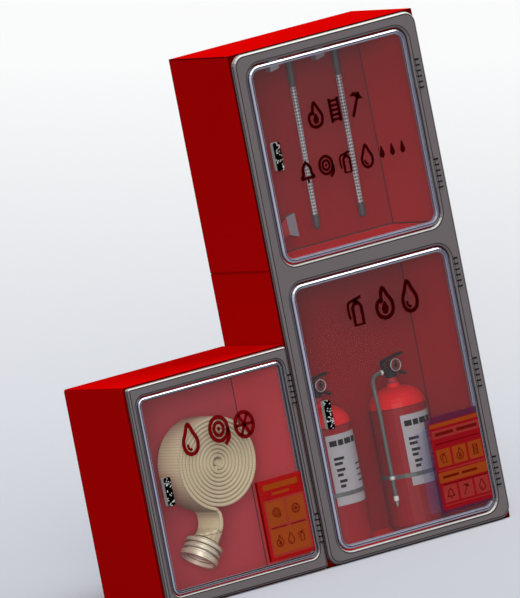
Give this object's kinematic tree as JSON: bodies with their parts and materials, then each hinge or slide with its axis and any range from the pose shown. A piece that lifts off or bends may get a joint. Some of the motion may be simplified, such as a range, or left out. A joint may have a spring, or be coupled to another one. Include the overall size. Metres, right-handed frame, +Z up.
{
  "type": "fire equipment cabinet",
  "caption": "L-shaped red sheet-steel fire equipment cabinet with hinged glass doors, fire axes, extinguishers and a rolled canvas hose",
  "frame": {"origin": "on the floor, at the middle of the footprint's bounding box", "axes": "+Z up, the doors face -Y, the tall column is on the +X side"},
  "size_m": [1.3102, 0.3554, 1.6],
  "materials": {
    "red_paint": "semi-gloss red powder coat on sheet steel",
    "frame_metal": "satin grey metal",
    "rim_metal": "bright polished door rim",
    "tinted_glass": "red-tinted flat glass",
    "bright_steel": "bright steel hinges and straps",
    "dark_plastic": "dark moulded parts and rubber hose",
    "extinguisher_red": "gloss red enamel",
    "shaft_grey": "light grey shaft",
    "axe_red": "red painted forged steel",
    "hose_canvas": "beige woven canvas",
    "coupling_metal": "machined light alloy"
  },
  "bodies": {
    "cabinet": {"axe_1_handle": "shaft_grey", "axe_1_head": "axe_red", "axe_2_handle": "shaft_grey", "axe_2_head": "axe_red", "axe_3_handle": "shaft_grey", "axe_3_head": "axe_red", "axe_rack": "frame_metal", "column_front_frame": "frame_metal", "extinguisher_1_cylinder": "extinguisher_red", "extinguisher_1_hose": "dark_plastic", "extinguisher_1_strap": "bright_steel", "extinguisher_1_valve": "dark_plastic", "extinguisher_2_cylinder": "extinguisher_red", "extinguisher_2_hose": "dark_plastic", "extinguisher_2_strap": "bright_steel", "extinguisher_2_valve": "dark_plastic", "hose_back_panel": "red_paint", "hose_bottom_panel": "red_paint", "hose_coil": "hose_canvas", "hose_coupling": "coupling_metal", "hose_front_frame": "frame_metal", "hose_hinge_1": "bright_steel", "hose_hinge_2": "bright_steel", "hose_left_panel": "red_paint", "hose_peg": "frame_metal", "hose_right_panel": "red_paint", "hose_tail": "hose_canvas", "hose_top_panel": "red_paint", "lower_back_panel": "red_paint", "lower_bottom_panel": "red_paint", "lower_floor_tray": "red_paint", "lower_hinge_1": "bright_steel", "lower_hinge_2": "bright_steel", "lower_hinge_3": "bright_steel", "lower_left_panel": "red_paint", "lower_right_panel": "red_paint", "lower_roof_panel": "red_paint", "upper_back_panel": "red_paint", "upper_floor_panel": "red_paint", "upper_hinge_1": "bright_steel", "upper_hinge_2": "bright_steel", "upper_left_panel": "red_paint", "upper_right_panel": "red_paint", "upper_top_panel": "red_paint"},
    "upper_door": {"upper_door_rim": "rim_metal", "upper_door_pane": "tinted_glass", "upper_door_latch": "dark_plastic"},
    "lower_door": {"lower_door_rim": "rim_metal", "lower_door_pane": "tinted_glass", "lower_door_latch": "dark_plastic"},
    "hose_door": {"hose_door_rim": "rim_metal", "hose_door_pane": "tinted_glass", "hose_door_latch": "dark_plastic"}
  },
  "joints": [
    {"name": "upper_door_hinge", "type": "hinge", "parent": "cabinet", "child": "upper_door", "pos_m": [0.62215, -0.16465, 1.2435], "axis": [0, 0, 1], "range_deg": [0, 110]},
    {"name": "lower_door_hinge", "type": "hinge", "parent": "cabinet", "child": "lower_door", "pos_m": [0.62215, -0.16465, 0.454], "axis": [0, 0, 1], "range_deg": [0, 110]},
    {"name": "hose_door_hinge", "type": "hinge", "parent": "cabinet", "child": "hose_door", "pos_m": [-0.06215, -0.16465, 0.354], "axis": [0, 0, 1], "range_deg": [0, 110]}
  ]
}
